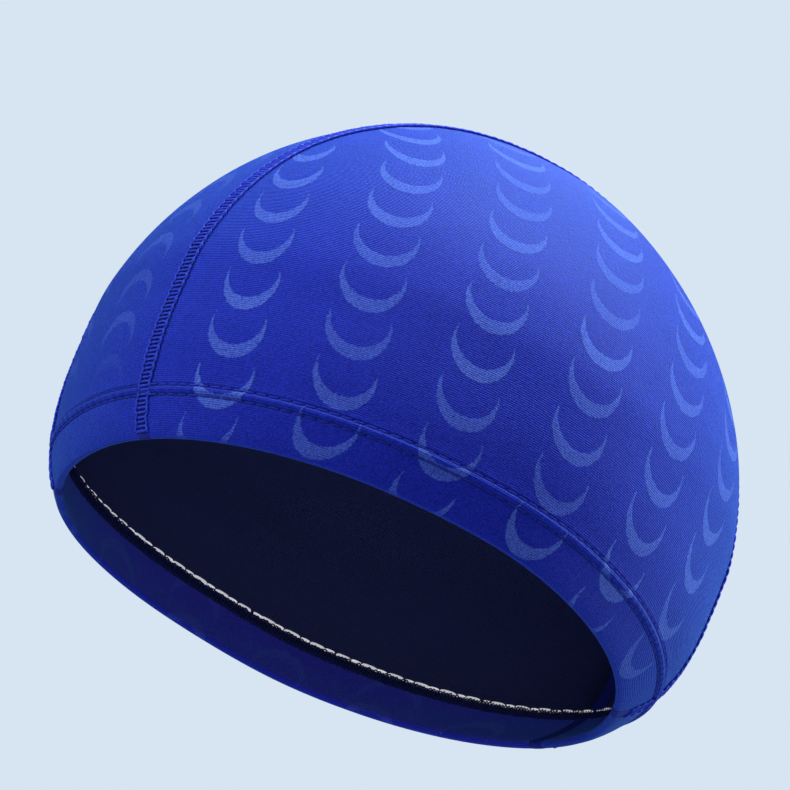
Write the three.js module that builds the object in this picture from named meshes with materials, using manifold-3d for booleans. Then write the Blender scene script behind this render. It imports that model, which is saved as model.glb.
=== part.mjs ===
// A stretch-cloth swim cap of three panels, in the form that it takes on a head.
// The front is -Y, the wearer's left is +X and +Z is up. The origin is the middle of the
// opening, on the rim. All lengths are in millimetres.
import * as THREE from "three";
import Module from "manifold-3d";

// Driving dimensions of the head form, measured to the outside of the cloth
const frontReach = 100.0;
const backReach = 100.0;
const halfWidth = 91.4;
const widestHeight = 49.1;
const crownRise = 98.3;
const frontTuck = 78.5;
const backTuck = 67.4;

// Driving dimensions of the cloth, its seams and its hem
const clothThickness = 1.1;
const crownStripWidth = 55.1;
const seamWidth = 4.8;
const seamRise = 0.6;
const seamInnerRise = 0.3;
const facingHeight = 15;
const hemSlit = 0.3;
const edgeHeight = 3;
const edgeRise = 0.4;
const pieceGap = 0.3;
const rimArch = 5.2;
const rimDrop = 2.6;

// How round the form is: powers of its level sections and of its profiles
const frontPower = 2.24;
const backPower = 1.86;
const upperPower = 1.86;
const lowerPower = 3;
const softening = 0.1;
const levelBlend = 0.4;
const profileBlend = 0.16;
const rearWidening = 0.0732;

// How the middle strip's half width changes from its width at the crown: a share lost from
// the crown down to the rim, and shares of the first three powers of the place along the head
const stripFlare = { down: 0.111, straight: 0.079, both: 0.233, taper: -0.291 };

// Mesh fineness
const columnsAround = 56;
const rowsUp = 16;
const foldSteps = 5;
const cutSteps = 24;

const halfLength = (frontReach + backReach) / 2;
const crownHeight = widestHeight + crownRise;
const foldRadius = clothThickness + hemSlit / 2;
const facingOut = clothThickness + hemSlit;
const facingIn = 2 * clothThickness + hemSlit;

const wasm = await Module();
wasm.setup();

// A power that stays round where its base passes through zero
function softPower(value, power) {
  const least = softening ** power;
  const raised = (value * value + softening * softening) ** (power / 2) - least;
  return raised / ((1 + softening * softening) ** (power / 2) - least);
}

function smoothShare(value, low, high) {
  return THREE.MathUtils.smoothstep(value, low, high);
}

// Below 1 inside the form, 1 on its surface
function headGauge(point) {
  const { x, y } = point;
  const rise = point.z - widestHeight;
  const towardBack = smoothShare(y, -halfLength, halfLength);
  const reach = y > 0 ? backReach : frontReach;
  const blendLength = levelBlend * halfLength;
  const levelPower = THREE.MathUtils.lerp(frontPower, backPower,
    smoothShare(y, -blendLength, blendLength));
  const blendHeight = profileBlend * crownRise;
  const profilePower = THREE.MathUtils.lerp(lowerPower, upperPower,
    smoothShare(rise, -blendHeight, blendHeight));
  const tuck = THREE.MathUtils.lerp(frontTuck, backTuck, towardBack);
  const height = rise > 0 ? crownRise : tuck;
  const width = halfWidth * (1 + rearWidening * y / halfLength);
  const level = softPower(x / width, levelPower) + softPower(y / reach, levelPower);
  return softPower(level ** (1 / levelPower), profilePower)
    + softPower(rise / height, profilePower);
}

// The rim lies a little lower at the front and back than at the temples, and dips at the sides
function rimHeight(x, y) {
  const along = y / halfLength;
  const across = x / halfWidth;
  return rimArch * (0.5 - along * along) - rimDrop * across * across;
}

// Where a line of points, given by its distance, leaves the form
function leaveForm(pointAt) {
  let inside = 0;
  let outside = 2 * (halfLength + crownRise);
  for (let step = 0; step < 40; step += 1) {
    const middle = (inside + outside) / 2;
    if (headGauge(pointAt(middle)) < 1) {
      inside = middle;
    } else {
      outside = middle;
    }
  }
  return pointAt(inside);
}

function liftedPoint(turn, lift) {
  const side = Math.sin(turn);
  const ahead = -Math.cos(turn);
  return leaveForm((distance) => {
    const x = distance * side;
    const y = distance * ahead;
    return new THREE.Vector3(x, y, rimHeight(x, y) + lift);
  });
}

function raisedPoint(turn, elevation) {
  const level = Math.cos(elevation);
  const direction = new THREE.Vector3(
    Math.sin(turn) * level, -Math.cos(turn) * level, Math.sin(elevation));
  return leaveForm((distance) => {
    return direction.clone().multiplyScalar(distance).setZ(
      widestHeight + direction.z * distance);
  });
}

function outwardAt(point) {
  const step = 0.02;
  const slope = [[step, 0, 0], [0, step, 0], [0, 0, step]].map((move) => {
    const shift = new THREE.Vector3(...move);
    return headGauge(point.clone().add(shift)) - headGauge(point.clone().sub(shift));
  });
  return new THREE.Vector3(...slope).normalize();
}

// One column's point on the outside of the cloth. A row is a lift above the rim, or, above
// the facing, a share of the way from there to the crown.
function skinPoint(turn, row) {
  if (row.share === undefined) {
    return liftedPoint(turn, row.lift);
  }
  const start = liftedPoint(turn, facingHeight + edgeHeight + 2 * pieceGap);
  const reach = Math.hypot(start.x, start.y);
  const low = Math.atan2(start.z - widestHeight, reach);
  return raisedPoint(turn, THREE.MathUtils.lerp(low, Math.PI / 2, row.share));
}

// A point that far inside the outer face, on one column and row
function wallPoint(turn, row, depth) {
  const point = skinPoint(turn, row);
  return point.addScaledVector(outwardAt(point), -depth);
}

// A half circle that carries the cloth round the rim, from its outer to its inner side
function foldPoints(turn, radius) {
  const start = liftedPoint(turn, foldRadius);
  const outward = outwardAt(start);
  const middle = start.clone().addScaledVector(outward, -foldRadius);
  const upward = liftedPoint(turn, 2 * foldRadius).sub(start).normalize();
  return Array.from({ length: foldSteps - 1 }, (_, index) => {
    const angle = Math.PI * (index + 1) / foldSteps;
    return middle.clone()
      .addScaledVector(outward, radius * Math.cos(angle))
      .addScaledVector(upward, -radius * Math.sin(angle));
  });
}

// A closed mesh through rings of points. A ring of one point is a pole, and a loop of rings
// closes on itself.
function solidOfRings(rings, isLoop) {
  const starts = [];
  const positions = [];
  for (const ring of rings) {
    starts.push(positions.length / 3);
    for (const point of ring) {
      positions.push(point.x, point.y, point.z);
    }
  }
  const triangles = [];
  const last = isLoop ? rings.length : rings.length - 1;
  for (let row = 0; row < last; row += 1) {
    const next = (row + 1) % rings.length;
    const around = Math.max(rings[row].length, rings[next].length);
    for (let column = 0; column < around; column += 1) {
      const here = (ring, place) => starts[ring] + place % rings[ring].length;
      const corners = [here(row, column), here(row, column + 1),
        here(next, column + 1), here(next, column)];
      if (rings[row].length > 1) {
        triangles.push(corners[0], corners[2], corners[1]);
      }
      if (rings[next].length > 1) {
        triangles.push(corners[0], corners[3], corners[2]);
      }
    }
  }
  const mesh = new wasm.Mesh({
    numProp: 3,
    vertProperties: new Float32Array(positions),
    triVerts: new Uint32Array(triangles),
  });
  return new wasm.Manifold(mesh);
}

function ringsOfColumns(columns) {
  return columns[0].map((_, row) => columns.map((column) => column[row]));
}

function turns() {
  return Array.from({ length: columnsAround }, (_, index) => 2 * Math.PI * index / columnsAround);
}

const wallLifts = [foldRadius, facingHeight / 2, facingHeight,
  facingHeight + edgeHeight + 2 * pieceGap].map((lift) => ({ lift }));
const facingLifts = wallLifts.slice(0, 3);
const upperShares = Array.from({ length: rowsUp - 1 }, (_, index) => ({
  share: (index + 1) / rowsUp,
}));
const wallRows = [...wallLifts, ...upperShares];

// The whole cap as one folded sheet: up the inside from the slit, over the crown, down the
// outside, round the rim and up the facing
function foldedSheet() {
  const columns = turns().map((turn) => [
    ...[...wallRows].reverse().map((row) => wallPoint(turn, row, 0)),
    ...foldPoints(turn, foldRadius),
    ...facingLifts.map((row) => wallPoint(turn, row, facingIn)),
    ...[...facingLifts].reverse().map((row) => wallPoint(turn, row, facingOut)),
    ...wallRows.map((row) => wallPoint(turn, row, clothThickness)),
  ]);
  const crown = (depth) => [new THREE.Vector3(0, 0, crownHeight - depth)];
  return solidOfRings([crown(0), ...ringsOfColumns(columns), crown(clothThickness)], false);
}

// The same form for the seams: proud of the cloth on both sides, and solid through the hem
function seamSheet() {
  const inner = clothThickness + seamInnerRise;
  const columns = turns().map((turn) => [
    ...[...wallRows].reverse().map((row) => wallPoint(turn, row, -seamRise)),
    ...foldPoints(turn, foldRadius + seamRise),
    ...facingLifts.map((row) => wallPoint(turn, row, facingIn + seamInnerRise)),
    ...wallRows.slice(2).map((row) => wallPoint(turn, row, inner)),
  ]);
  const crown = (depth) => [new THREE.Vector3(0, 0, crownHeight - depth)];
  return solidOfRings([crown(-seamRise), ...ringsOfColumns(columns), crown(inner)], false);
}

// The overlocked raw edge stands on the facing's top, against the inside of the wall
function overlockRing() {
  const low = { lift: facingHeight + pieceGap };
  const high = { lift: facingHeight + pieceGap + edgeHeight };
  const outer = clothThickness + seamInnerRise + pieceGap;
  const inner = facingIn + edgeRise;
  const columns = turns().map((turn) => [
    wallPoint(turn, high, outer),
    wallPoint(turn, low, outer),
    wallPoint(turn, low, inner),
    wallPoint(turn, high, inner),
  ]);
  return solidOfRings(ringsOfColumns(columns), true);
}

// Half the middle strip's width at a place on the head: each seam's middle line lies there
function seamPlace(y, z) {
  const along = y / halfLength;
  const share = 1 + stripFlare.down * (z / crownHeight - 1) + stripFlare.straight * along
    + stripFlare.both * along ** 2 + stripFlare.taper * along ** 3;
  return crownStripWidth / 2 * share;
}

// A block that fills the space between two sheets, each a distance beside a seam's middle
// line, on the side of +X or -X
function blockBeside(side, lowAt, highAt) {
  const reach = 1.3 * halfLength;
  const floor = -0.3 * crownHeight;
  const ceiling = 1.3 * crownHeight;
  const ring = (y) => {
    const corners = [[lowAt, floor], [highAt, floor], [highAt, ceiling], [lowAt, ceiling]];
    const points = corners.map(([at, z]) => new THREE.Vector3(side * at(y, z), y, z));
    return side > 0 ? points : points.reverse();
  };
  const rings = Array.from({ length: cutSteps + 1 }, (_, index) => (
    ring(THREE.MathUtils.lerp(-reach, reach, index / cutSteps))));
  const cap = (y) => {
    const middle = ring(y).reduce((sum, point) => sum.add(point), new THREE.Vector3());
    return [middle.multiplyScalar(0.25)];
  };
  return solidOfRings([cap(-reach), ...rings, cap(reach)], false);
}

function meshOf(name, solid, material) {
  const data = solid.getMesh();
  const geometry = new THREE.BufferGeometry();
  geometry.setAttribute("position", new THREE.BufferAttribute(data.vertProperties, 3));
  geometry.setIndex(new THREE.BufferAttribute(data.triVerts, 1));
  geometry.computeVertexNormals();
  const mesh = new THREE.Mesh(geometry, material);
  mesh.name = name;
  return mesh;
}

const cloth = new THREE.MeshStandardMaterial({ color: 0x2a3cc0, roughness: 0.62, metalness: 0 });
const seamThread = new THREE.MeshStandardMaterial({ color: 0x18206e, roughness: 0.75, metalness: 0 });
const edgeThread = new THREE.MeshStandardMaterial({ color: 0x0c1038, roughness: 0.9, metalness: 0 });

const sheet = foldedSheet();
const proudSheet = seamSheet();
const seamEdge = seamWidth / 2;
const clothEdge = seamEdge + pieceGap;
const farOut = () => 1.5 * halfWidth;
const beside = (distance) => (y, z) => seamPlace(y, z) + distance;

const cap = new THREE.Group();
cap.name = "swim_cap";
for (const [side, word] of [[1, "left"], [-1, "right"]]) {
  const panel = sheet.intersect(blockBeside(side, beside(clothEdge), farOut));
  cap.add(meshOf(`${word}_panel`, panel, cloth));
  const seam = proudSheet.intersect(blockBeside(side, beside(-seamEdge), beside(seamEdge)));
  cap.add(meshOf(`${word}_seam`, seam, seamThread));
}
const stripEdge = beside(-clothEdge);
const middleBlock = blockBeside(1, (y, z) => -stripEdge(y, z), stripEdge);
cap.add(meshOf("middle_panel", sheet.intersect(middleBlock), cloth));
cap.add(meshOf("overlock_edge", overlockRing(), edgeThread));

export default cap;
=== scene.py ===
import math

import bmesh
import bpy
import numpy as np
from bpy.props import FloatProperty, FloatVectorProperty, IntProperty, PointerProperty
from bpy.types import Operator, Panel, PropertyGroup
from mathutils import Matrix, Vector


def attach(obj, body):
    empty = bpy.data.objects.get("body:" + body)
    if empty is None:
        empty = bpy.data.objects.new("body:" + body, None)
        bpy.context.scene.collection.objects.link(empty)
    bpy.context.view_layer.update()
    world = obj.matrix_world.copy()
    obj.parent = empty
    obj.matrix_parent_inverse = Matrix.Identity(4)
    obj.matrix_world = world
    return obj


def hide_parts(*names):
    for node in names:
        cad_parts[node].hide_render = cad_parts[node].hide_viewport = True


bl_info = {
    "name": "Swim Cap",
    "version": (1, 0, 0),
    "blender": (4, 5, 0),
    "location": "3D View > Sidebar > Swim Cap",
    "description": "A stretch-knit swim cap in its worn form, with its seams, hem and threads",
    "category": "Add Mesh",
}

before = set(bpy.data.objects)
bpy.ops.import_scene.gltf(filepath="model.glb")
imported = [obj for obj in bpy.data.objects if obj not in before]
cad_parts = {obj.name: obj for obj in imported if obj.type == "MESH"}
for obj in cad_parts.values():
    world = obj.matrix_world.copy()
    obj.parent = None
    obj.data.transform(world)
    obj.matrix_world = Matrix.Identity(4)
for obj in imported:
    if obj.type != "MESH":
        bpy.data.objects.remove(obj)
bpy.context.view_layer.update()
MM = 1000.0
TURN = 2 * math.pi
RING = np.linspace(0, TURN, 721)[:-1]  # turns round the rim, from the brow
SEAM_LAP = 0.1  # how far cloth and seam overlap, in millimetres
SEAM_STEP = 0.65  # spacing of the seams' rows, in millimetres


# The sizes and colours that a user would change


def size(name, text, default, **more):
    return FloatProperty(name=name, description=text, default=default, unit="LENGTH",
                         precision=5, min=0.0, **more)


def share(name, text, default):
    return FloatProperty(name=name, description=text, default=default, precision=3)


def colour(name, text, default):
    return FloatVectorProperty(name=name, description=text, default=default, subtype="COLOR",
                               size=3, min=0.0, max=1.0)


class CapForm(PropertyGroup):
    front_reach: size("Front reach", "From the middle to the brow", 0.100)
    back_reach: size("Back reach", "From the middle to the nape", 0.100)
    half_width: size("Half width", "From the middle to the temple", 0.0914)
    widest_height: size("Widest height", "Height of the widest level above the rim", 0.0491)
    crown_rise: size("Crown rise", "From the widest level to the crown", 0.0983)
    front_tuck: size("Front tuck", "Depth over which the brow would close", 0.0785)
    back_tuck: size("Back tuck", "Depth over which the nape would close", 0.0674)
    rim_arch: size("Rim arch", "How far the rim dips at brow and nape", 0.0052)
    rim_drop: size("Rim drop", "How far the rim dips at the ears", 0.0026)
    front_power: share("Front roundness", "Power of the level section in front", 2.24)
    back_power: share("Back roundness", "Power of the level section behind", 1.86)
    upper_power: share("Crown roundness", "Power of the profile above the widest level", 1.86)
    lower_power: share("Lower roundness", "Power of the profile below the widest level", 3.0)
    widening: share("Widening", "Share by which the width grows toward the back", 0.0732)
    sag: size("Slack", "Height of the slow waves in the cloth", 0.00022)


class ClothSizes(PropertyGroup):
    thickness: size("Thickness", "Thickness of the knit", 0.0011)
    slit: size("Hem slit", "Space between the two layers of the hem", 0.0003)
    facing: size("Facing height", "Height of the turned-in cloth", 0.015)
    low_row: size("Lower needle row", "Its height above the rim", 0.0118)
    high_row: size("Upper needle row", "Its height above the rim", 0.0146)
    ridge: size("Hem ridge", "How far the cloth swells between the needle rows", 0.0008)
    groove: size("Needle groove", "How deep a needle row draws the cloth in", 0.0006)
    hem_top: size("Hem top", "Height where the hem's own rows end", 0.019)
    columns: IntProperty(name="Columns", description="Columns of a side panel", default=170)
    rows: IntProperty(name="Rows", description="Rows from the hem to the seam", default=90)
    strip_columns: IntProperty(name="Strip columns", description="Columns of the middle strip",
                               default=40)
    strip_rows: IntProperty(name="Strip rows", description="Rows over the crown", default=190)


class SeamSizes(PropertyGroup):
    crown_width: size("Strip width", "Width of the middle strip at the crown", 0.0551)
    width: size("Seam width", "Width of the flat seam", 0.0048)
    rise: size("Seam rise", "How proud the seam stands", 0.0003)
    cell: size("Seam stitch", "Length of one stitch of the seam", 0.0026)
    thread: size("Seam thread", "Radius of the seam's thread", 0.00034)
    down: share("Flare down", "Width lost from the crown to the rim", 0.111)
    straight: share("Flare straight", "Width gained toward the back", 0.079)
    both: share("Flare both", "Width gained toward both ends", 0.233)
    taper: share("Flare taper", "Width gained at the brow and lost at the nape", -0.291)
    pinch: size("Nape pinch", "How far each seam turns in at the nape's rim", 0.004)


class StitchSizes(PropertyGroup):
    needle_pitch: size("Needle pitch", "Length of one stitch of the hem", 0.0036)
    needle_thread: size("Needle thread", "Radius of the needle thread", 0.00027)
    loop_pitch: size("Overlock pitch", "Spacing of the overlock loops", 0.0011)
    loop_thread: size("Overlock thread", "Radius of the overlock thread", 0.0002)
    chain_pitch: size("Chain pitch", "Length of a long and a short chain stitch", 0.0085)
    chain_thread: size("Chain thread", "Radius of a strand of the chain stitch", 0.00028)
    chain_lift: size("Chain height", "Height of the chain stitch above the rim", 0.0198)


class ScaleFigure(PropertyGroup):
    column_pitch: size("Column pitch", "Spacing of the columns of crescents", 0.0325)
    row_pitch: size("Row pitch", "Spacing of the crescents in a column", 0.0152)
    first_column: FloatProperty(name="First column", description="Place of one column",
                                default=0.013, unit="LENGTH", precision=5)
    first_row: FloatProperty(name="First row", description="Place of one crescent's foot",
                             default=0.0002, unit="LENGTH", precision=5)
    drift: size("Drift", "How far the columns lean to the brow from the rim upward", 0.0033)
    belly: share("Belly", "Share by which the columns spread half way up", 0.05)
    skew: share("Skew", "How much the columns draw together toward the nape", 0.0004)
    strip_shift: size("Strip shift", "Place of the strip's crescents from its rim", 0.0018)
    strip_pull: share("Strip pull", "Length of the pattern on one length of the strip", 1.086)
    strip_side: FloatProperty(name="Strip side", description="Shift of the strip's columns",
                              default=-0.002, unit="LENGTH", precision=5)
    half_width: size("Crescent half width", "Half the width of a crescent", 0.0087)
    foot: size("Crescent foot", "Thickness of a crescent at its foot", 0.0042)
    tip: size("Crescent tip", "Height of a crescent's tips above its foot", 0.0144)
    rib: size("Knit rib", "Spacing of the knit's courses", 0.00062)


class CapColours(PropertyGroup):
    knit: colour("Knit", "The cloth's face", (0.022, 0.034, 0.56))
    # Deep knit is the knit's darker tone; knit_face also pulls the needle rows toward it as painted
    # shade.
    knit_deep: colour("Deep knit", "The cloth's face between its loops", (0.007, 0.011, 0.28))
    # Facing is a lighter, redder copy of the knit: painted light on the turned-in cloth, which the
    # lamps reach only dimly.
    facing: colour("Facing", "The turned-in cloth in the hem's shade", (0.085, 0.050, 0.72))
    crescent: colour("Crescent", "The silvery crescents", (0.12, 0.20, 0.76))
    back: colour("Wrong side", "The cloth's wrong side", (0.040, 0.047, 0.155))
    seam: colour("Seam thread", "Thread of the flat seams", (0.023, 0.052, 0.58))
    # The seam bed is darker than the knit: painted shade in the gaps between the seam's threads.
    shaded_seam_bed: colour("Seam bed", "Cloth edges below the seam's thread", (0.012, 0.020, 0.30))
    needle: colour("Needle thread", "Thread of the hem's needle rows", (0.018, 0.030, 0.42))
    overlock: colour("Overlock", "Thread of the raw edge", (0.018, 0.024, 0.13))
    chain: colour("Chain thread", "The white thread inside", (0.93, 0.93, 0.95))
    floor: colour("Floor", "The pale floor", (0.72, 0.80, 0.90))


# The head form, in millimetres


def soft_power(value, power, softening=0.1):
    """A power that stays round where its base passes through zero."""
    least = softening ** power
    raised = (value * value + softening ** 2) ** (power / 2) - least
    return raised / ((1 + softening ** 2) ** (power / 2) - least)


def smooth_share(value, low, high):
    """0 below low, 1 above high and smooth between them."""
    part = np.clip((value - low) / (high - low), 0, 1)
    return part * part * (3 - 2 * part)


class HeadForm:
    """The outside of the worn cap: a gauge that is 1 on it and less inside."""

    def __init__(self, form, seam):
        for name in ("front_reach", "back_reach", "half_width", "widest_height", "crown_rise",
                     "front_tuck", "back_tuck", "rim_arch", "rim_drop", "sag"):
            setattr(self, name, getattr(form, name) * MM)
        for name in ("front_power", "back_power", "upper_power", "lower_power", "widening"):
            setattr(self, name, getattr(form, name))
        for name in ("down", "straight", "both", "taper"):
            setattr(self, name, getattr(seam, name))
        self.strip, self.pinch = seam.crown_width * MM, seam.pinch * MM
        self.half_length = (self.front_reach + self.back_reach) / 2
        self.crown = self.widest_height + self.crown_rise
        self.middle = np.array([0.0, 0.0, self.widest_height])

    def gauge(self, point):
        x, y, z = point[..., 0], point[..., 1], point[..., 2]
        rise = z - self.widest_height
        blend = 0.4 * self.half_length
        level_power = self.front_power + (self.back_power - self.front_power) * smooth_share(
            y, -blend, blend)
        blend = 0.16 * self.crown_rise
        profile_power = self.lower_power + (self.upper_power - self.lower_power) * smooth_share(
            rise, -blend, blend)
        toward_back = smooth_share(y, -self.half_length, self.half_length)
        tuck = self.front_tuck + (self.back_tuck - self.front_tuck) * toward_back
        height = np.where(rise > 0, self.crown_rise, tuck)
        reach = np.where(y > 0, self.back_reach, self.front_reach)
        width = self.half_width * (1 + self.widening * y / self.half_length)
        level = soft_power(x / width, level_power) + soft_power(y / reach, level_power)
        across = level ** (1 / level_power)
        return soft_power(across, profile_power) + soft_power(rise / height, profile_power)

    def rim(self, x, y):
        """Height of the rim's edge."""
        along, across = y / self.half_length, x / self.half_width
        return self.rim_arch * (0.5 - along * along) - self.rim_drop * across * across

    def lift(self, point):
        """Height above the rim."""
        return point[..., 2] - self.rim(point[..., 0], point[..., 1])

    def seam(self, y, z):
        """How far the seam lies from the middle plane."""
        along = y / self.half_length
        part = 1 + self.down * (z / self.crown - 1) + self.straight * along
        turned = self.pinch * smooth_share(along, 0.68, 0.98) * smooth_share(-z, -60, -10)
        return self.strip / 2 * (part + self.both * along ** 2 + self.taper * along ** 3) - turned

    def leave(self, place, shape):
        """Where place(distance) passes out through the form."""
        inside, outside = np.zeros(shape), np.full(shape, 2.6 * self.half_length)
        for _ in range(32):
            middle = (inside + outside) / 2
            within = self.gauge(place(middle)) < 1
            inside = np.where(within, middle, inside)
            outside = np.where(within, outside, middle)
        return place(inside)

    def lifted(self, turn, lift):
        """On the form at a height above the rim; turn 0 is the brow, a half turn the nape."""
        turn, lift = np.broadcast_arrays(turn, lift)

        def place(distance):
            x, y = distance * np.sin(turn), -distance * np.cos(turn)
            return np.stack([x, y, self.rim(x, y) + lift], -1)
        return self.leave(place, turn.shape)

    def rayed(self, direction):
        """On the form, along directions from its middle."""
        def place(distance):
            return self.middle + direction * distance[..., None]
        return self.leave(place, direction.shape[:-1])

    def on_sheet(self, angle, across):
        """On the form and on the sheet x = across(y, z); angle 0 is the brow, upward to the crown."""
        def place(distance):
            y = -distance * np.cos(angle)
            z = self.widest_height + distance * np.sin(angle)
            return np.stack([across(y, z), y, z], -1)
        return self.leave(place, angle.shape)

    def sheet_lifted(self, end, lift, across):
        """On the form, on that sheet and at a height above the rim; end is -1 or 1."""
        def place(distance):
            y = end * distance
            low = self.rim(0, y) + lift
            x = across(y, low)
            z = self.rim(x, y) + lift
            return np.stack([across(y, z), y, z], -1)
        return self.leave(place, np.shape(lift))

    def outward(self, point):
        """The direction that leaves the form at a point."""
        slope = []
        for axis in range(3):
            shift = np.zeros(3)
            shift[axis] = 0.05
            slope.append(self.gauge(point + shift) - self.gauge(point - shift))
        slope = np.stack(slope, -1)
        return slope / np.linalg.norm(slope, axis=-1, keepdims=True)

    def slack(self, point):
        """Slow waves of the stretched cloth, still at the rim."""
        x, y, z = point[..., 0], point[..., 1], point[..., 2]
        waves = (np.sin(x / 11 + 0.7 * np.sin(y / 17)) + np.sin(y / 13 + 1.3 + 0.6 * np.sin(z / 9))
                 + np.sin((z + 0.5 * y) / 10 + 2.1))
        return self.sag * waves / 3 * smooth_share(self.lift(point), 3, 30)


class Cap:
    """The cap's settings, and the form worked out from them."""

    def __init__(self, scene):
        self.cloth, self.seam, self.figure = scene.cap_cloth, scene.cap_seam, scene.cap_figure
        self.stitches, self.colours = scene.cap_stitches, scene.cap_colours
        self.form = HeadForm(scene.cap_form, self.seam)
        self.thick, self.slit = self.cloth.thickness * MM, self.cloth.slit * MM
        self.fold_radius = self.thick + self.slit / 2
        self.facing = self.cloth.facing * MM


def hem_lifts(cap):
    """Heights of the rows in the hem, close together where the needle rows draw it in."""
    cloth, step, reach = cap.cloth, 0.3, 1.2
    low, high, top = cloth.low_row * MM, cloth.high_row * MM, cloth.hem_top * MM
    plain = np.linspace(cap.fold_radius, low - reach - 0.4, 6)
    fine = np.arange(low - reach, high + reach + 0.1, step)
    return np.concatenate([plain, fine, [high + reach + 0.7, top]])


def hem_relief(lift, cloth):
    """How far the needle rows and the ridge between them move the outer face."""
    low, high = cloth.low_row * MM, cloth.high_row * MM
    groove_width, ridge_width, double_layer, fade = 0.42, 1.15 * (high - low), 0.3, 2.2
    swell = np.clip((lift - (low + high) / 2) / ridge_width, -0.5, 0.5)
    ridge = cloth.ridge * MM * np.cos(swell * math.pi) ** 2
    grooves = sum(np.exp(-((lift - row) / groove_width) ** 2) for row in (low, high))
    doubled = double_layer * (1 - smooth_share(lift, high, high + fade)) * smooth_share(lift, 0, 4)
    return ridge - cloth.groove * MM * grooves + doubled


# Mesh making


class Sheet:
    """Gathers grids of points, with their place on the cloth, into one closed mesh."""

    def __init__(self):
        self.points, self.cloth, self.faces, self.finish, self.count = [], [], [], [], 0

    def grid(self, points, cloth):
        index = np.arange(points[..., 0].size).reshape(points.shape[:-1]) + self.count
        self.count += index.size
        self.points.append(points.reshape(-1, 3))
        self.cloth.append(cloth.reshape(-1, 3))
        return index

    def skin(self, index, finish=0):
        corners = [index[:-1, :-1], index[1:, :-1], index[1:, 1:], index[:-1, 1:]]
        quads = np.stack([c.ravel() for c in corners], -1)
        self.faces.extend(quads.tolist())
        self.finish.extend([finish] * len(quads))

    def join(self, first, second, finish=0):
        self.skin(np.stack([first, second]), finish)

    def cap(self, corners, finish=0):
        self.faces.append([int(c) for c in corners])
        self.finish.append(finish)

    def piece(self, name, materials, sharp=55):
        mesh = bpy.data.meshes.new(name)
        points = np.concatenate(self.points) / MM
        mesh.from_pydata(points.tolist(), [], self.faces)
        attribute = mesh.attributes.new("cloth", "FLOAT_VECTOR", "POINT")
        attribute.data.foreach_set("vector", np.concatenate(self.cloth).ravel())
        mesh.polygons.foreach_set("material_index", self.finish)
        for material in materials:
            mesh.materials.append(material)
        solid = bmesh.new()
        solid.from_mesh(mesh)
        bmesh.ops.remove_doubles(solid, verts=solid.verts, dist=2e-6)
        bmesh.ops.dissolve_degenerate(solid, edges=solid.edges, dist=1e-7)
        bmesh.ops.recalc_face_normals(solid, faces=solid.faces)
        solid.to_mesh(mesh)
        solid.free()
        mesh.polygons.foreach_set("use_smooth", [True] * len(mesh.polygons))
        mesh.set_sharp_from_angle(angle=math.radians(sharp))
        return put(name, mesh)


def put(name, mesh):
    piece = bpy.data.objects.new(name, mesh)
    bpy.context.scene.collection.objects.link(piece)
    return piece


def belong(piece, node=None):
    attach(piece, "root")
    if node:
        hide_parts(node)


def lengths(points):
    """Distance along each column of a grid of rows by columns."""
    steps = np.linalg.norm(np.diff(points, axis=0), axis=-1)
    return np.concatenate([np.zeros((1,) + steps.shape[1:]), np.cumsum(steps, axis=0)])


class Fold:
    """One end of a cloth: its outer rows near the rim and the layers that they turn into."""

    def __init__(self, cap, rows, outward, lifts):
        count = int((lifts <= cap.facing).sum())
        base, out = rows[:count], outward[:count]
        radius = cap.fold_radius
        self.facing = base - out * (2 * cap.thick + cap.slit)
        self.hidden = base - out * (cap.thick + cap.slit)
        upward = rows[1] - rows[0]
        upward /= np.linalg.norm(upward, axis=-1, keepdims=True)
        centre = rows[0] - outward[0] * radius
        turns = np.linspace(0, math.pi, 9)[1:-1, None, None]
        self.arc = centre + radius * (outward[0] * np.cos(turns) - upward * np.sin(turns))
        self.arc_length = radius * turns[:, :, 0]
        self.half_turn = radius * math.pi


def close_fold(sheet, fold, outer, wall, place):
    """Adds the rounded rim and the facing below the outer and wall rows."""
    arc = sheet.grid(fold.arc, place(fold.arc_length, fold.arc))
    run = lengths(fold.facing) + fold.half_turn
    facing = sheet.grid(fold.facing, place(run, fold.facing))
    hidden = sheet.grid(fold.hidden, place(run, fold.hidden))
    sheet.skin(np.concatenate([outer[:1], arc, facing[:1]]))
    sheet.skin(facing)
    sheet.skin(hidden, 1)
    sheet.join(facing[-1], hidden[-1], 1)
    sheet.join(hidden[0], wall[0], 1)
    for side in (0, -1):
        sheet.join(facing[:, side], hidden[:, side], 1)
        sheet.cap([wall[0, side], outer[0, side], *arc[:, side], facing[0, side],
                   hidden[0, side]], 1)


def mirrored(points, side):
    return points * np.array([side, 1, 1])


def pattern_place(along, up, figure):
    """Where a point lies across the pattern, from its distance along its row and up its column."""
    part = np.sin(math.pi * np.clip(up / 110, 0, 1))
    first = (figure.first_column + figure.drift * (0.85 - smooth_share(up, 0, 80))) * MM
    across = (along - first) / (0.99 + figure.belly * part)
    return figure.first_column * MM + across + figure.skew * part * across ** 2


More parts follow.
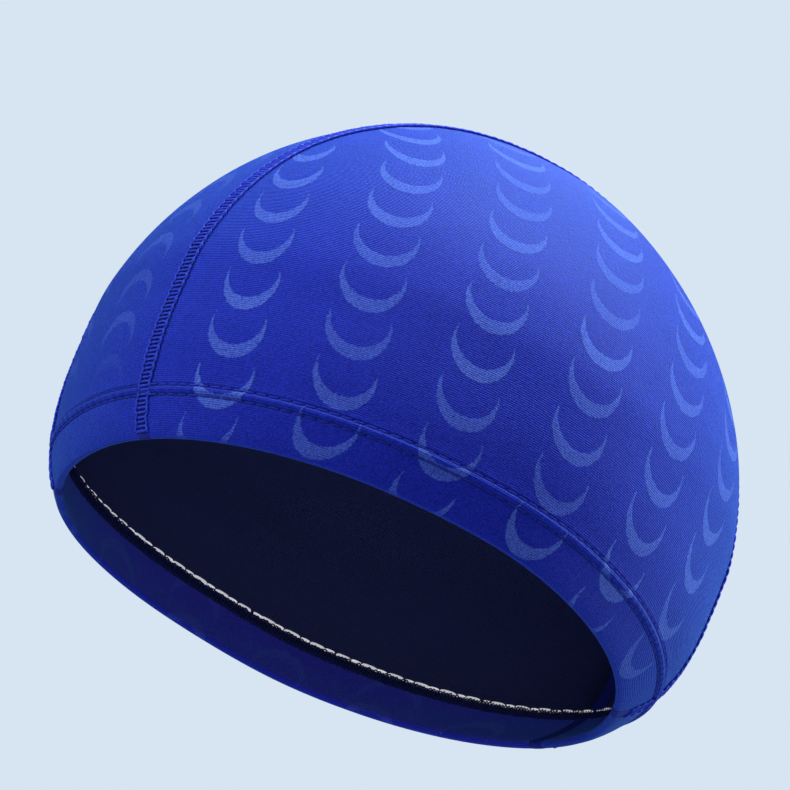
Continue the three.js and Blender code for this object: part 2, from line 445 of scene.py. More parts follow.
def side_cloth(cap, side, name, materials):
    """A side panel: rows from the rim to the seam, columns from brow to nape."""
    form, cloth = cap.form, cap.cloth
    edge = cap.seam.width * MM / 2 - SEAM_LAP
    lifts = hem_lifts(cap)

    def across(y, z):
        return form.seam(y, z) + edge
    ends = [form.sheet_lifted(end, lifts, across) for end in (-1, 1)]
    turns = [np.arctan2(p[:, 0], -p[:, 1]) for p in ends]
    angles = [np.arctan2(p[-1, 2] - form.widest_height, -p[-1, 1]) for p in ends]
    angles[1] += TURN if angles[1] < 0 else 0

    def seam_angle(turn):
        """Where a column that starts at a turn of the rim meets the seam."""
        quarter, slope, bend = math.pi / 2, 0.78, 8
        lean = turn - quarter
        reach = np.where(lean < 0, quarter - turns[0][-1], turns[1][-1] - quarter)
        span = np.where(lean < 0, quarter - angles[0], angles[1] - quarter)
        part = np.abs(lean) / reach
        bent = slope * part * reach + (span - slope * reach) * part ** bend
        return quarter + np.sign(lean) * bent
    fine = np.linspace(turns[0][-1], turns[1][-1], 900)
    walk = (lengths(form.lifted(fine, lifts[-1])) + lengths(form.on_sheet(seam_angle(fine), across)))
    even = np.interp(np.linspace(0, walk[-1], cloth.columns + 1), walk, fine)
    part = (even - even[0]) / (even[-1] - even[0])
    hem_turns = turns[0][:, None] + (turns[1] - turns[0])[:, None] * part
    low = form.lifted(hem_turns, lifts[:, None])
    foot, head = low[-1] - form.middle, form.on_sheet(seam_angle(even), across) - form.middle
    foot /= np.linalg.norm(foot, axis=-1, keepdims=True)
    head /= np.linalg.norm(head, axis=-1, keepdims=True)
    wide = np.arccos(np.clip((foot * head).sum(-1), -1, 1))[:, None] + 1e-6
    steps = (np.arange(1, cloth.rows + 1) / cloth.rows)[:, None, None]
    way = (foot * np.sin((1 - steps) * wide) + head * np.sin(steps * wide)) / np.sin(wide)
    way /= np.linalg.norm(way, axis=-1, keepdims=True)
    rows = np.concatenate([low, form.rayed(way)])
    outward = form.outward(rows)
    run = lengths(rows)
    around = lengths(rows.swapaxes(0, 1)).T
    around = around - np.array([[np.interp(math.pi / 2, even, line)] for line in around])
    across_cloth = pattern_place(around, run, cap.figure)

    def place(distance, points):
        """Across and up the cloth, and the height above the rim, below 0 on the facing."""
        flat = across_cloth if len(points) == len(run) else across_cloth[:1]
        flat = np.broadcast_to(flat, points.shape[:-1])
        up = np.broadcast_to(-distance, points.shape[:-1])
        side_of = np.where(up < 0, -1, 1)
        return np.stack([flat, up, form.lift(points) * side_of], -1)
    relief = hem_relief(form.lift(rows), cloth) + form.slack(rows)
    sheet = Sheet()
    outer = sheet.grid(mirrored(rows + outward * relief[..., None], side), place(-run, rows))
    inner = rows + outward * (form.slack(rows) - cap.thick)[..., None]
    wall = sheet.grid(mirrored(inner, side), place(-run, rows))
    fold = Fold(cap, rows, outward, lifts)
    for name_of in ("facing", "hidden", "arc"):
        setattr(fold, name_of, mirrored(getattr(fold, name_of), side))
    sheet.skin(outer)
    sheet.skin(wall, 1)
    sheet.join(outer[-1], wall[-1], 1)
    for end in (0, -1):
        sheet.join(outer[:, end], wall[:, end], 1)
    close_fold(sheet, fold, outer, wall, place)
    piece = sheet.piece(name, materials)
    return piece, (run.max() + fold.half_turn + cap.facing, np.ptp(around))


def strip_cloth(cap, name, materials):
    """The middle strip: rows from the brow's rim over the crown to the nape's."""
    form, cloth, figure = cap.form, cap.cloth, cap.figure
    edge = cap.seam.width * MM / 2 - SEAM_LAP
    lifts = hem_lifts(cap)
    shares = np.linspace(-1, 1, cloth.strip_columns + 1)

    def across(y, z):
        return shares * (form.seam(y, z) - edge)
    ends = [form.sheet_lifted(end, lifts[:, None] + 0 * shares, across) for end in (-1, 1)]
    angles = [np.arctan2(p[-1, :, 2] - form.widest_height, -p[-1, :, 1]) for p in ends]
    angles[1] = angles[1] + np.where(angles[1] < 0, TURN, 0)
    steps = np.linspace(0, 1, cloth.strip_rows + 2)[1:-1, None]
    over = form.on_sheet(angles[0] + (angles[1] - angles[0]) * steps, across)
    rows = np.concatenate([ends[0], over, ends[1][::-1]])
    outward = form.outward(rows)
    run = lengths(rows)
    middle = rows.shape[1] // 2

    def place(distance, points):
        """Across and along the strip, and the height above the rim, below 0 on the facing."""
        distance = np.broadcast_to(distance, points.shape[:-1])
        side_of = np.where((distance > 0) | (distance < -run[-1]), -1, 1)
        along = distance * figure.strip_pull - figure.strip_shift * MM
        return np.stack([points[..., 0] + figure.strip_side * MM, along,
                         form.lift(points) * side_of], -1)
    relief = hem_relief(form.lift(rows), cloth) + form.slack(rows)
    sheet = Sheet()
    outer = sheet.grid(rows + outward * relief[..., None], place(-run, rows))
    inner = rows + outward * (form.slack(rows) - cap.thick)[..., None]
    wall = sheet.grid(inner, place(-run, rows))
    sheet.skin(outer)
    sheet.skin(wall, 1)
    for side in (0, -1):
        sheet.join(outer[:, side], wall[:, side], 1)
    front = Fold(cap, rows, outward, lifts)
    close_fold(sheet, front, outer, wall, place)
    back = Fold(cap, rows[::-1], outward[::-1], lifts)
    total = run[-1]
    close_fold(sheet, back, outer[::-1], wall[::-1], lambda way, points: place(-way - total, points))
    piece = sheet.piece(name, materials)
    return piece, (total[middle] + 2 * (front.half_turn + cap.facing), np.ptp(rows[0, :, 0]))


def sheet_area(piece):
    """Half the area of a closed thin sheet, in square metres."""
    return sum(face.area for face in piece.data.polygons) / 2


# The flat seams


def seam_way(cap, offset):
    """Points over the cap beside the seam, and the heights of those in the hem."""
    form, top = cap.form, cap.cloth.hem_top * MM
    lifts = np.concatenate([np.arange(cap.fold_radius, top, SEAM_STEP), [top]])

    def across(y, z):
        return form.seam(y, z) + offset
    ends = [form.sheet_lifted(end, lifts, across) for end in (-1, 1)]
    angles = [math.atan2(p[-1, 2] - form.widest_height, -p[-1, 1]) for p in ends]
    angles[1] += TURN if angles[1] < 0 else 0
    count = int(3.8 * form.half_length / SEAM_STEP)
    over = form.on_sheet(np.linspace(angles[0], angles[1], count)[1:-1], across)
    return lifts, np.concatenate([ends[0], over, ends[1][::-1]])


def seam_rows(cap, offset, top, under):
    """A seam's top and under faces along one line: facing, rim, crown, rim, facing."""
    form, radius, hem_share = cap.form, cap.fold_radius, 0.4
    lifts, base = seam_way(cap, offset)
    out = form.outward(base)
    relief = (hem_share * hem_relief(form.lift(base), cap.cloth) + form.slack(base))[:, None]
    high, low = [base + out * (top + relief)], [base - out * under]
    outs = [out]
    count = int((lifts <= cap.facing).sum())
    for end in (0, 1):
        rows, outward = (base, out) if end == 0 else (base[::-1], out[::-1])
        upward = rows[1] - rows[0]
        upward /= np.linalg.norm(upward)
        centre = rows[0] - outward[0] * radius
        turns = np.linspace(0, math.pi, 7)[1:-1, None]
        spoke = outward[0] * np.cos(turns) - upward * np.sin(turns)
        face_out = -outward[:count]
        face = rows[:count] - outward[:count] * (2 * cap.thick + cap.slit)
        tail = [np.concatenate([centre + spoke * (radius + top), face + face_out * top]),
                np.concatenate([centre + spoke * 0.12, face - face_out * (cap.thick - 0.1)]),
                np.concatenate([spoke, face_out])]
        for lines, extra in zip((high, low, outs), tail):
            if end == 0:
                lines.insert(0, extra[::-1])
            else:
                lines.append(extra)
    return [np.concatenate(lines) for lines in (high, low, outs)]


def seam_band(cap, side, name, material):
    """The overlapped cloth edges below the seam's thread."""
    half = cap.seam.width * MM / 2 + SEAM_LAP
    offsets = np.linspace(-1, 1, 11)
    columns = []
    for part in offsets:
        proud = cap.seam.rise * MM * (1 - part ** 6) - 0.15
        columns.append(seam_rows(cap, part * half, proud, cap.thick + 0.2))
    high = np.stack([c[0] for c in columns], 1)
    low = np.stack([c[1] for c in columns], 1)
    run = lengths(high)
    place = np.stack([np.broadcast_to(offsets * half, run.shape), run, 0 * run], -1)
    sheet = Sheet()
    top = sheet.grid(mirrored(high, side), place)
    under = sheet.grid(mirrored(low, side), place)
    sheet.skin(top)
    sheet.skin(under)
    for edge in (0, -1):
        sheet.join(top[:, edge], under[:, edge])
        sheet.join(top[edge], under[edge])
    return sheet.piece(name, [material])


# Threads, laid along a path by one node tree


class Value:
    """A socket that takes arithmetic."""

    def __init__(self, graph, socket):
        self.graph, self.socket = graph, socket

    def out(self, name):
        return Value(self.graph, self.socket.node.outputs[name])

    def math(self, operation, *others):
        inputs = dict(enumerate((self, *others)))
        return self.graph.node("ShaderNodeMath", {"operation": operation}, inputs)

    def __add__(self, other):
        return self.math("ADD", other)

    def __mul__(self, other):
        return self.math("MULTIPLY", other)

    def __sub__(self, other):
        return self.math("SUBTRACT", other)

    def __truediv__(self, other):
        return self.math("DIVIDE", other)

    def __rsub__(self, other):
        return (self * -1.0) + other

    __radd__, __rmul__ = __add__, __mul__

    def clamped(self):
        return self.math("MAXIMUM", 0.0).math("MINIMUM", 1.0)


class Graph:
    """A node tree in the making."""

    def __init__(self, tree):
        self.tree = tree
        tree.nodes.clear()

    def node(self, kind, settings=None, inputs=None, output=0):
        node = self.tree.nodes.new(kind)
        for name, value in (settings or {}).items():
            setattr(node, name, value)
        for key, value in (inputs or {}).items():
            if isinstance(value, Value):
                self.tree.links.new(value.socket, node.inputs[key])
            else:
                node.inputs[key].default_value = value
        return Value(self, node.outputs[output]) if len(node.outputs) else node


def thread_tree():
    """A stitch repeated along a path, as tubes: its sizes are the tree's named inputs."""
    tree = bpy.data.node_groups.new("Thread Along Path", "GeometryNodeTree")
    face = tree.interface
    for name, kind in (("Path", "NodeSocketGeometry"), ("Stitch", "NodeSocketObject"),
                       ("Spacing", "NodeSocketFloat"), ("Thread Radius", "NodeSocketFloat"),
                       ("Unevenness", "NodeSocketFloat"), ("Seed", "NodeSocketInt"),
                       ("Material", "NodeSocketMaterial")):
        face.new_socket(name, in_out="INPUT", socket_type=kind)
    face.new_socket("Threads", in_out="OUTPUT", socket_type="NodeSocketGeometry")
    graph = Graph(tree)
    given = graph.node("NodeGroupInput")
    line = graph.node("GeometryNodeMeshToCurve", None, {"Mesh": given.out("Path")})
    points = graph.node("GeometryNodeResampleCurve", {"mode": "LENGTH"},
                        {"Curve": line, "Length": given.out("Spacing")})
    along = graph.node("GeometryNodeInputTangent")
    outward = graph.node("GeometryNodeInputNamedAttribute", {"data_type": "FLOAT_VECTOR"},
                         {"Name": "outward"})
    turn = graph.node("FunctionNodeAxesToRotation",
                      {"primary_axis": "Z", "secondary_axis": "X"},
                      {"Primary Axis": outward, "Secondary Axis": along})
    source = graph.node("GeometryNodeObjectInfo", None, {"Object": given.out("Stitch")},
                        "Geometry")
    strand = graph.node("GeometryNodeMeshToCurve", None, {"Mesh": source})
    ring = graph.node("GeometryNodeCurvePrimitiveCircle", None,
                      {"Resolution": 6, "Radius": given.out("Thread Radius")})
    tube = graph.node("GeometryNodeCurveToMesh", None,
                      {"Curve": strand, "Profile Curve": ring, "Fill Caps": True})
    least = 1.0 - given.out("Unevenness")
    most = 1.0 + given.out("Unevenness")
    vary = graph.node("FunctionNodeRandomValue", {"data_type": "FLOAT"},
                      {2: least, 3: most, "Seed": given.out("Seed")}, 1)
    placed = graph.node("GeometryNodeInstanceOnPoints", None,
                        {"Points": points, "Instance": tube, "Rotation": turn, "Scale": vary})
    solid = graph.node("GeometryNodeRealizeInstances", None, {"Geometry": placed})
    smooth = graph.node("GeometryNodeSetShadeSmooth", None, {"Geometry": solid})
    dyed = graph.node("GeometryNodeSetMaterial", None,
                      {"Geometry": smooth, "Material": given.out("Material")})
    graph.node("NodeGroupOutput", None, {"Threads": dyed})
    return tree


def lines_object(name, lines, closed=False, outward=None):
    """A mesh of edges only, from lists of points in millimetres."""
    mesh = bpy.data.meshes.new(name)
    points, edges = [], []
    for line in lines:
        start = len(points)
        points.extend((np.asarray(line) / MM).tolist())
        edges.extend((start + k, start + k + 1) for k in range(len(line) - 1))
        if closed:
            edges.append((len(points) - 1, start))
    mesh.from_pydata(points, edges, [])
    if outward is not None:
        attribute = mesh.attributes.new("outward", "FLOAT_VECTOR", "POINT")
        attribute.data.foreach_set("vector", np.asarray(outward).ravel())
    return put(name, mesh)


def rounded(points, steps=4):
    """A smooth line through a few points of a stitch."""
    points = np.asarray(points, float)
    padded = np.concatenate([2 * points[:1] - points[1:2], points, 2 * points[-1:] - points[-2:-1]])
    line = []
    for a, b, c, d in zip(padded, padded[1:], padded[2:], padded[3:]):
        for t in np.arange(steps) / steps:
            line.append(0.5 * (2 * b + (c - a) * t + (2 * a - 5 * b + 4 * c - d) * t ** 2
                               + (3 * b - a - 3 * c + d) * t ** 3))
    return [*line, points[-1]]


def threads(name, paths, outward, stitch, spacing, radius, material, closed=False,
            uneven=0.06, seed=1):
    """Lays a stitch along paths and turns the result into one plain mesh."""
    tree = bpy.data.node_groups.get("Thread Along Path") or thread_tree()
    pattern = lines_object(f"{name}_stitch", [rounded(line) for line in stitch])
    carrier = lines_object(f"{name}_path", paths, closed, np.concatenate(outward))
    modifier = carrier.modifiers.new("Threads", "NODES")
    modifier.node_group = tree
    values = {"Stitch": pattern, "Spacing": spacing, "Thread Radius": radius,
              "Unevenness": uneven, "Seed": seed, "Material": material}
    for item in tree.interface.items_tree:
        if item.in_out == "INPUT" and item.name in values:
            modifier[item.identifier] = values[item.name]
    bpy.context.view_layer.update()
    shown = carrier.evaluated_get(bpy.context.evaluated_depsgraph_get())
    mesh = bpy.data.meshes.new_from_object(shown)
    mesh.name = name
    for helper in (pattern, carrier):
        bpy.data.objects.remove(helper)
    return put(name, mesh)


# Materials


def principled(name, build):
    """A material whose inputs, bump height and bump depth come from build(graph)."""
    material = bpy.data.materials.new(name)
    material.use_nodes = True
    graph = Graph(material.node_tree)
    inputs, height, depth = build(graph)
    inputs["Normal"] = graph.node("ShaderNodeBump", None, {
        "Height": height, "Strength": 1.0, "Distance": depth})
    shader = graph.node("ShaderNodeBsdfPrincipled", None, inputs)
    graph.node("ShaderNodeOutputMaterial", None, {"Surface": shader})
    return material


def tone(values):
    return (*values, 1.0)


def grain(graph, size_mm, detail=2.0):
    """Noise about 0, with grains of a size in millimetres."""
    where = graph.node("ShaderNodeTexCoord", None, None, "Object")
    noise = graph.node("ShaderNodeTexNoise", None,
                       {"Vector": where, "Scale": MM / size_mm, "Detail": detail})
    return noise - 0.5


def blend(graph, factor, first, second):
    """Mixes two colours, each a value or a link."""
    given = {0: factor, 6: first if isinstance(first, Value) else tone(first),
             7: second if isinstance(second, Value) else tone(second)}
    return graph.node("ShaderNodeMix", {"data_type": "RGBA"}, given, 2)


def cloth_place(graph):
    """Places across and along the cloth, and the height above the rim, in millimetres."""
    given = graph.node("ShaderNodeAttribute", {"attribute_name": "cloth"}, None, "Vector")
    parts = graph.node("ShaderNodeSeparateXYZ", None, {0: given})
    return parts.out("X"), parts.out("Y"), parts.out("Z")


def wave(value, period):
    return (value * (TURN / period)).math("SINE")


def crescents(graph, figure, across, along, rough):
    """1 on the crescents: between two ellipses that meet at the tips, with ragged edges."""
    crisp, inner_crisp, tip_crisp, ragged, columns_shown = 14.0, 11.0, 1.6, 1.6, 3.4
    pitch, row = figure.column_pitch * MM, figure.row_pitch * MM
    wide, foot, tip = figure.half_width * MM, figure.foot * MM, figure.tip * MM
    shifted = across - figure.first_column * MM
    column = (shifted / pitch + 0.5).math("FLOOR")
    beside = shifted - column * pitch
    odd = (column * 0.5).math("FRACT") * 2.0
    height = along - figure.first_row * MM - odd * (row / 2)
    above = height - (height / row).math("FLOOR") * row
    tall = 0.7 * tip
    outer = ((beside / wide).math("POWER", 2.0)
             + ((above - tall) / tall).math("POWER", 2.0))
    narrow, inner_tall = 0.92 * wide, tip - 1.38 * foot
    inner = ((beside / narrow).math("POWER", 2.0)
             + ((above - (foot + inner_tall)) / inner_tall).math("POWER", 2.0))
    within = ((1.0 - outer) * crisp + rough * ragged + 0.4).clamped()
    beyond = ((inner - 1.0) * inner_crisp + rough * ragged + 0.4).clamped()
    below = ((tip - above) * tip_crisp + rough).clamped()
    near = ((columns_shown - (column + 0.5).math("ABSOLUTE")) * 8.0).clamped()
    cell = graph.node("ShaderNodeCombineXYZ", None, {0: column, 1: (height / row).math("FLOOR")})
    chance = graph.node("ShaderNodeTexWhiteNoise", {"noise_dimensions": "2D"}, {"Vector": cell})
    return within * beyond * below * near * (0.72 + chance * 0.4)


def knit_face(cap, name, strength, fading):
    """The cloth's face: fine courses, silvery crescents, painted shade along the drawn-in needle rows
    and painted light on the turned-in facing.

    The crescents fade below a height above the rim, over a reach, to a least share.
    """
    colours, figure, cloth = cap.colours, cap.figure, cap.cloth
    height_of_fading, reach, least = fading
    hem_middle = (cloth.low_row + cloth.high_row) / 2 * MM

    def build(graph):
        across, along, lift = cloth_place(graph)
        fine, coarse, broad = grain(graph, 0.55), grain(graph, 1.3), grain(graph, 14.0, 1.0)
        courses = wave(along + coarse * 0.25, figure.rib * MM)
        shown = ((lift - height_of_fading) / reach).clamped() * (1 - least) + least
        mark = crescents(graph, figure, across, along, coarse + fine) * shown * strength
        # painted shade: needle darkens the cloth along both needle rows, for the shade in their
        # grooves
        rows = [(1.3 - (lift - row * MM).math("ABSOLUTE") / 0.4).clamped()
                for row in (cloth.low_row, cloth.high_row)]
        needle = rows[0] + rows[1]
        pucker = wave(across, cap.stitches.needle_pitch * MM) * (
            1.0 - (lift - hem_middle).math("ABSOLUTE") / 3.4).clamped()
        # painted light: the last term lightens the turned-in facing, where the height above the rim
        # is below 0
        shade = (0.60 + courses * 0.16 + fine * 2.0 + coarse * 0.6 + broad * 0.3
                 - needle * 0.8 + (lift * -2.0).clamped() * 0.45).clamped()
        ground = blend(graph, shade, colours.knit_deep, colours.knit)
        # painted light: further in on the facing, the cloth is mixed toward the lighter facing colour
        turned = (lift * -1.0 - 1.3).clamped()
        ground = blend(graph, turned * 0.75, ground, colours.facing)
        silver = (mark * (0.56 + courses * 0.22 + fine * 1.5)).clamped()
        height = (courses * 0.16 + fine * 0.7 + coarse * 0.35 + mark * 0.35 + pucker * 0.2)
        return {"Base Color": blend(graph, silver, ground, colours.crescent),
                "Roughness": 0.6 + mark * 0.1 + fine * 0.2,
                "Specular IOR Level": 0.11, "Specular Tint": (0.4, 0.6, 1.0, 1.0),
                "Sheen Weight": 0.6, "Sheen Roughness": 0.4,
                "Sheen Tint": (0.13, 0.44, 1.0, 1.0)}, height, 0.00042
    return principled(name, build)


def knit_back(colours):
    """The wrong side: nearly black navy with a fine slanting mesh."""
    def build(graph):
        across, along, _ = cloth_place(graph)
        fine, pitch = grain(graph, 0.6), 1.15
        mesh = wave(across + along, pitch) * wave(across - along, pitch)
        shade = (0.5 + mesh * 0.3 + fine * 0.5).clamped()
        dark = tuple(0.45 * part for part in colours.back)
        light = tuple(1.9 * part for part in colours.back)
        return {"Base Color": blend(graph, shade, dark, light), "Roughness": 0.85,
                "Specular IOR Level": 0.12}, mesh * 0.4 + fine * 0.5, 0.0002
    return principled("knit wrong side", build)


def camera_ray(graph):
    """1 where the camera looks at a thing, 0 where light bounces off it."""
    return graph.node("ShaderNodeLightPath", None, None, "Is Camera Ray")


def thread_finish(name, base, spread=0.35, rough=0.6, sheen=0.15, painted_glow=0.0):
    """Spun thread: its colour varies from strand to strand. A glow, where given, is emission in the
    lighter colour: painted light that brightens the thread beyond what the lamps give.
    """
    def build(graph):
        fine, coarse = grain(graph, 0.22), grain(graph, 1.6)
        shade = (0.5 + fine * 1.2 + coarse * 0.8).clamped()
        dark = tuple(part * (1 - spread) for part in base)
        light = tuple(min(part * (1 + spread), 1.0) for part in base)
        return {"Base Color": blend(graph, shade, dark, light), "Roughness": rough,
                "Specular IOR Level": 0.2, "Sheen Weight": sheen,
                "Sheen Tint": (0.25, 0.4, 1.0, 1.0),
                "Emission Color": tone(light), "Emission Strength": painted_glow}, fine, 0.00008
    return principled(name, build)


# Operators, one for each group of pieces


class CAP_OT_cloth(Operator):
    """Make the two side panels and the middle strip, each with its turned-in hem"""
    bl_idname = "cap.cloth"
    bl_label = "Make Cloth Panels"

    def execute(self, context):
        cap = Cap(context.scene)
        back = knit_back(cap.colours)
        face = knit_face(cap, "knit face", 1.0, (0.0, 0.5, 0.4))
        for side, word in ((1, "left"), (-1, "right")):
            piece, flat = side_cloth(cap, side, f"{word}_cloth", [face, back])
            self.declare(piece, flat, f"{word}_panel")
        face = knit_face(cap, "strip face", 0.42, (16.0, 20.0, 0.1))
        piece, flat = strip_cloth(cap, "middle_cloth", [face, back])
        self.declare(piece, flat, "middle_panel")
        return {"FINISHED"}

    def declare(self, piece, flat, node):
        belong(piece, node)
        wide, long = (part / MM for part in flat)
        sheet_area(piece)


class CAP_OT_seams(Operator):
    """Make the flat seams: the overlapped edges and their ladder of thread"""
    bl_idname = "cap.seams"
    bl_label = "Make Flat Seams"

    def execute(self, context):
        cap = Cap(context.scene)
        # painted shade: the cloth edges under the seam's thread take the darker seam bed colour, for
        # the shade between the threads
        bed = thread_finish("shaded seam bed", cap.colours.shaded_seam_bed, 0.3, 0.8)
        yarn = thread_finish("seam thread", cap.colours.seam, 0.3)
        for side, word in ((1, "left"), (-1, "right")):
            band = seam_band(cap, side, f"{word}_seam_band", bed)
            belong(band, f"{word}_seam")
            path, _, outward = seam_rows(cap, 0.0, cap.seam.rise * MM + 0.04, 0.0)
            run = self.outside(cap.form.lift(path))
            turned = [[(x, y * side, z) for x, y, z in line] for line in self.ladder(cap)]
            piece = threads(f"{word}_seam_threads", [mirrored(path[run], side)],
                            [mirrored(outward[run], side)], turned, cap.seam.cell,
                            cap.seam.thread, yarn, uneven=0.07, seed=3 + side)
            belong(piece)
        return {"FINISHED"}

    def outside(self, lifts):
        """Indices of the seam's points between the rim's turns at brow and nape."""
        rim_turn, stitch_room = 1.2, 7
        low = np.nonzero(lifts < rim_turn)[0]
        gap = int(np.argmax(np.diff(low)))
        return np.arange(low[gap] + 1, low[gap + 1] - stitch_room)

    def ladder(self, cap):
        """One stitch of the seam: a slanting rung that goes over and back, and three rails."""
        cell, half, slant = cap.seam.cell * MM, cap.seam.width * MM / 2, 0.13
        rung = [(0.20 * cell, half - 0.9, -0.1), (0.12 * cell, 0.3, 0.2),
                (0.10 * cell, -half + 0.9, 0.14), (0.34 * cell, -half + 0.45, 0.1),
                (0.56 * cell, -half + 0.9, 0.14), (0.64 * cell, 0.3, 0.2),
                (0.70 * cell, half - 0.9, -0.1)]
        rails = [
            [(0, -half + 0.3, -0.1), (0.35 * cell, -half + 0.1, 0.18),
             (0.75 * cell, -half + 0.45, 0.14), (cell, -half + 0.3, -0.1)],
            [(0, half - 0.6, -0.05), (0.4 * cell, half - 0.15, 0.2),
             (0.9 * cell, half - 0.65, 0.0)],
            [(0.5 * cell, half - 0.1, -0.05), (0.95 * cell, half - 0.65, 0.2),
             (1.4 * cell, half - 0.15, 0.0)],
        ]
        return [[(x - slant * y, y, z) for x, y, z in rung], *rails]


class CAP_OT_hem(Operator):
    """Make the two needle rows that hold the turned-in hem"""
    bl_idname = "cap.hem"
    bl_label = "Make Hem Stitches"

    def execute(self, context):
        cap = Cap(context.scene)
        form, stitches = cap.form, cap.stitches
        yarn = thread_finish("needle thread", cap.colours.needle, 0.4)
        pitch = stitches.needle_pitch * MM
        stitch = [[(0.08 * pitch, 0, -0.4), (0.18 * pitch, 0, 0.05), (0.5 * pitch, 0, 0.2),
                   (0.82 * pitch, 0, 0.05), (0.92 * pitch, 0, -0.4)]]
        for word, row, seed in (("low", cap.cloth.low_row, 5), ("high", cap.cloth.high_row, 6)):
            points = form.lifted(RING, row * MM)
            outward = form.outward(points)
            over = np.abs(np.abs(points[:, 0]) - form.seam(points[:, 1], points[:, 2]))
            proud = 0.55 * (1 - smooth_share(over, 2.2, 3.2))
            relief = hem_relief(form.lift(points), cap.cloth) + proud
            path = points + outward * (relief + 0.22)[:, None]
            piece = threads(f"needle_row_{word}", [path], [outward], stitch,
                            stitches.needle_pitch, stitches.needle_thread, yarn,
                            closed=True, seed=seed)
            belong(piece)
        return {"FINISHED"}


class CAP_OT_inside(Operator):
    """Make the overlocked raw edge and the white chain stitch inside the cap"""
    bl_idname = "cap.inside"
    bl_label = "Make Inside Threads"

    def execute(self, context):
        cap = Cap(context.scene)
        low, high = cap.facing - 0.4, cap.facing + 3.0
        dark = thread_finish("overlock thread", cap.colours.overlock, 0.5, 0.9, 0.05)
        self.band(cap, dark, low, high)
        self.loops(cap, dark, low, high)
        self.chain(cap)
        return {"FINISHED"}

    def band(self, cap, dark, low, high):
        """A lumpy ring that carries the loops, on the facing's raw edge."""
        turns = np.linspace(0, TURN, 361)
        lifts = np.array([low + 0.4, low, low, low + 0.5, high - 0.5, high, high, high - 0.4])
        depths = cap.thick + np.array([0.35, 0.5, 1.3, 1.75, 1.35, 0.9, 0.45, 0.35])
        lift, turn = np.meshgrid(lifts, turns, indexing="ij")
        base = cap.form.lifted(turn, lift)
        lumps = 0.12 * np.sin(turn * 173) * np.sin(turn * 61 + lift)
        ring = base - cap.form.outward(base) * (depths[:, None] + lumps)[..., None]
        sheet = Sheet()
        index = sheet.grid(ring, np.stack([turn * 90, lift, lift], -1))
        sheet.skin(np.concatenate([index, index[:1]]))
        belong(sheet.piece("overlock_band", [dark]), "overlock_edge")

    def loops(self, cap, dark, low, high):
        """Loops of thread over the band, side by side."""
        middle = cap.form.lifted(RING, (low + high) / 2)
        outward = cap.form.outward(middle)
        path = middle - outward * (2 * cap.thick + 0.75)
        half, pitch = (high - low) / 2, cap.stitches.loop_pitch * MM
        loop = [[(0, half, -0.2), (0.3 * pitch, 0.5 * half, 0.3), (-0.2 * pitch, -0.2 * half, 0.45),
                 (0.7 * pitch, -half, 0.3), (1.2 * pitch, -0.9 * half, -0.1),
                 (0.9 * pitch, 0.1 * half, 0.25), (1.3 * pitch, 0.8 * half, 0.15)]]
        piece = threads("overlock_loops", [path], [-outward], loop, cap.stitches.loop_pitch,
                        cap.stitches.loop_thread, dark, closed=True, uneven=0.16, seed=11)
        belong(piece)

    def chain(self, cap):
        """A thick white stitch and a thin double one by turns."""
        # The white thread glows faintly: painted light that brightens it in the cap's dim inside.
        white = thread_finish("chain thread", cap.colours.chain, 0.03, 0.7, 0.0, 0.42)
        points = cap.form.lifted(RING, cap.stitches.chain_lift * MM)
        outward = cap.form.outward(points)
        path = points - outward * (cap.thick + 0.45)
        pitch = cap.stitches.chain_pitch * MM
        long, short, offset = 0.52 * pitch, 0.33 * pitch, pitch / 2
        fat = [[(-long / 2, 0, -0.6), (-0.42 * long, 0, -0.1), (-long / 4, 0, 0.1), (0, 0, 0.14),
                (long / 4, 0, 0.1), (0.42 * long, 0, -0.1), (long / 2, 0, -0.6)]]
        thin = [[(offset - short / 2, y, -0.3), (offset - short / 4, y, 0.0),
                 (offset + short / 4, y, 0.0), (offset + short / 2, y, -0.3)]
                for y in (-0.28, 0.28)]
        for word, lines, thickness, seed in (("long", fat, 1.75, 21), ("short", thin, 0.8, 22)):
            piece = threads(f"chain_stitch_{word}", [path], [-outward], lines,
                            cap.stitches.chain_pitch, cap.stitches.chain_thread * thickness,
                            white, closed=True, uneven=0.1, seed=seed)
            belong(piece)


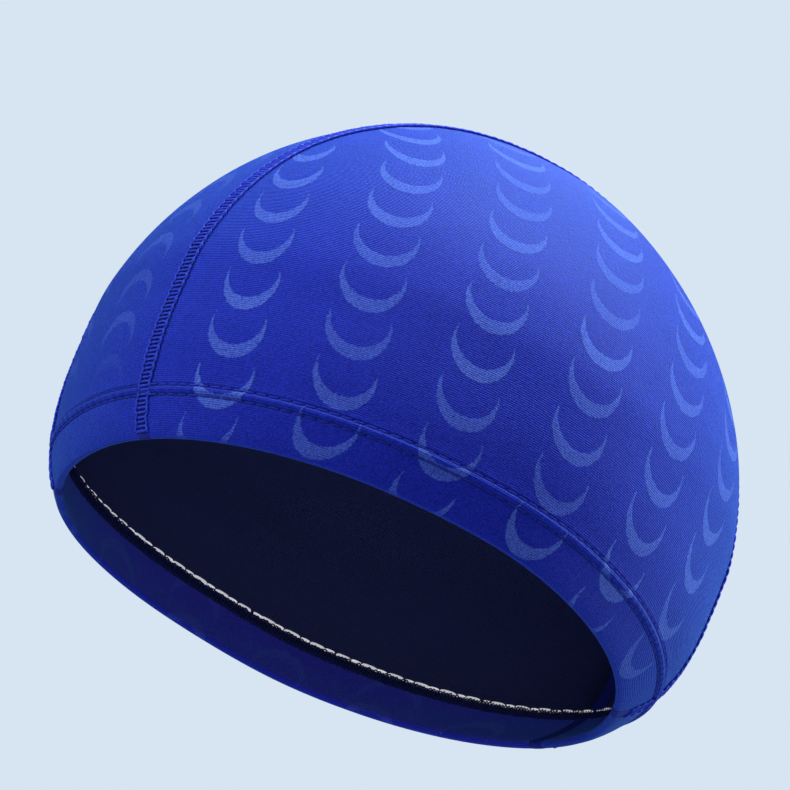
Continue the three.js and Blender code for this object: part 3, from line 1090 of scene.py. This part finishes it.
class CAP_OT_stage(Operator):
    """Make the floor, the soft lights, the pale surroundings and the camera"""
    bl_idname = "cap.stage"
    bl_label = "Make Stage"

    def execute(self, context):
        scene = context.scene
        self.floor(scene.cap_colours.floor)
        self.lights()
        scene.world = self.surroundings()
        scene.view_settings.view_transform = "Standard"
        scene.camera = self.camera()
        return {"FINISHED"}

    def surroundings(self):
        """Pale to the camera, and dim as a light on the cap."""
        world = bpy.data.worlds.new("pale surroundings")
        world.use_nodes = True
        graph = Graph(world.node_tree)
        dim, pale = (graph.node("ShaderNodeBackground", None,
                                {"Color": (0.74, 0.85, 0.97, 1.0), "Strength": strength})
                     for strength in (0.13, 0.92))
        sky = graph.node("ShaderNodeMixShader", None, {0: camera_ray(graph), 1: dim, 2: pale})
        graph.node("ShaderNodeOutputWorld", None, {"Surface": sky})
        return world

    def floor(self, paint):
        mesh = bpy.data.meshes.new("floor")
        edge, low = 25.0, -2.0
        corners = [(-edge, -edge, low), (edge, -edge, low), (edge, edge, low), (-edge, edge, low)]
        mesh.from_pydata(corners, [], [(0, 1, 2, 3)])
        mesh.materials.append(self.floor_finish(tone(paint)))
        put("floor", mesh)

    def floor_finish(self, paint):
        """Pale paint that looks evenly lit in the picture and sends little light to the cap."""
        material = bpy.data.materials.new("pale floor")
        material.use_nodes = True
        graph = Graph(material.node_tree)
        matt = graph.node("ShaderNodeBsdfDiffuse", None, {"Color": paint})
        shine = graph.node("ShaderNodeEmission", None, {"Color": paint, "Strength": 1.0})
        both = graph.node("ShaderNodeMixShader", None,
                          {0: camera_ray(graph) * 0.8, 1: matt, 2: shine})
        graph.node("ShaderNodeOutputMaterial", None, {"Surface": both})
        return material

    def lights(self):
        """A broad light above, one at the brow, one at the nape and a weak one near the camera."""
        for name, place, width, power in (("over light", (0.15, 0.2, 1.35), 1.2, 46.0),
                                          ("brow light", (0.1, -1.35, 0.45), 0.9, 15.0),
                                          ("nape light", (0.2, 1.3, 0.55), 0.9, 12.5),
                                          ("fill light", (1.4, -0.3, -0.35), 1.0, 3.3)):
            light = bpy.data.lights.new(name, "AREA")
            light.size, light.energy, light.color = width, power, (0.86, 0.94, 1.0)
            lamp = bpy.data.objects.new(name, light)
            aim = Vector(place) - Vector((0, 0, 0.07))
            turned = aim.to_track_quat("Z", "Y").to_matrix().to_4x4()
            lamp.matrix_world = Matrix.Translation(place) @ turned
            bpy.context.scene.collection.objects.link(lamp)

    def camera(self):
        """From the wearer's left, a little in front and well below, rolled to the right."""
        azimuth, elevation, roll = (math.radians(a) for a in (72.28, -24.49, 22.46))
        distance, aim = 1.758, Vector((0.0, -0.0106, 0.0648))
        level = math.cos(elevation)
        back = Vector((math.sin(azimuth) * level, -math.cos(azimuth) * level, math.sin(elevation)))
        right = (-back).cross(Vector((0, 0, 1))).normalized()
        up = right.cross(-back)
        turned = (math.cos(roll) * right + math.sin(roll) * up,
                  -math.sin(roll) * right + math.cos(roll) * up, back)
        lens = bpy.data.cameras.new("camera")
        image_pixels, focal_pixels = 790, 6033
        lens.sensor_width = 36.0
        lens.lens = lens.sensor_width * focal_pixels / image_pixels
        lens.clip_end = 60.0
        eye = bpy.data.objects.new("camera", lens)
        matrix = Matrix.Identity(4)
        for column, axis in enumerate(turned):
            for row in range(3):
                matrix[row][column] = axis[row]
        matrix.translation = aim + back * distance
        eye.matrix_world = matrix
        bpy.context.scene.collection.objects.link(eye)
        return eye


class CAP_PT_panel(Panel):
    """Lists the makers in the 3D view's sidebar"""
    bl_idname = "CAP_PT_panel"
    bl_label = "Swim Cap"
    bl_space_type = "VIEW_3D"
    bl_region_type = "UI"
    bl_category = "Swim Cap"

    def draw(self, context):
        for maker in MAKERS:
            self.layout.operator(maker.bl_idname)
        for name, group in GROUPS.items():
            box = self.layout.box()
            for field in group.__annotations__:
                box.prop(getattr(context.scene, name), field)


MAKERS = (CAP_OT_stage, CAP_OT_cloth, CAP_OT_seams, CAP_OT_hem, CAP_OT_inside)
GROUPS = {"cap_form": CapForm, "cap_cloth": ClothSizes, "cap_seam": SeamSizes,
          "cap_stitches": StitchSizes, "cap_figure": ScaleFigure, "cap_colours": CapColours}


def register():
    for group in GROUPS.values():
        bpy.utils.register_class(group)
    for maker in MAKERS:
        bpy.utils.register_class(maker)
    bpy.utils.register_class(CAP_PT_panel)
    for name, group in GROUPS.items():
        setattr(bpy.types.Scene, name, PointerProperty(type=group))


def unregister():
    for name in GROUPS:
        delattr(bpy.types.Scene, name)
    bpy.utils.unregister_class(CAP_PT_panel)
    for maker in reversed(MAKERS):
        bpy.utils.unregister_class(maker)
    for group in reversed(list(GROUPS.values())):
        bpy.utils.unregister_class(group)


def main():
    register()
    bpy.ops.cap.stage()
    bpy.ops.cap.cloth()
    bpy.ops.cap.seams()
    bpy.ops.cap.hem()
    bpy.ops.cap.inside()


if __name__ == "__main__":
    main()
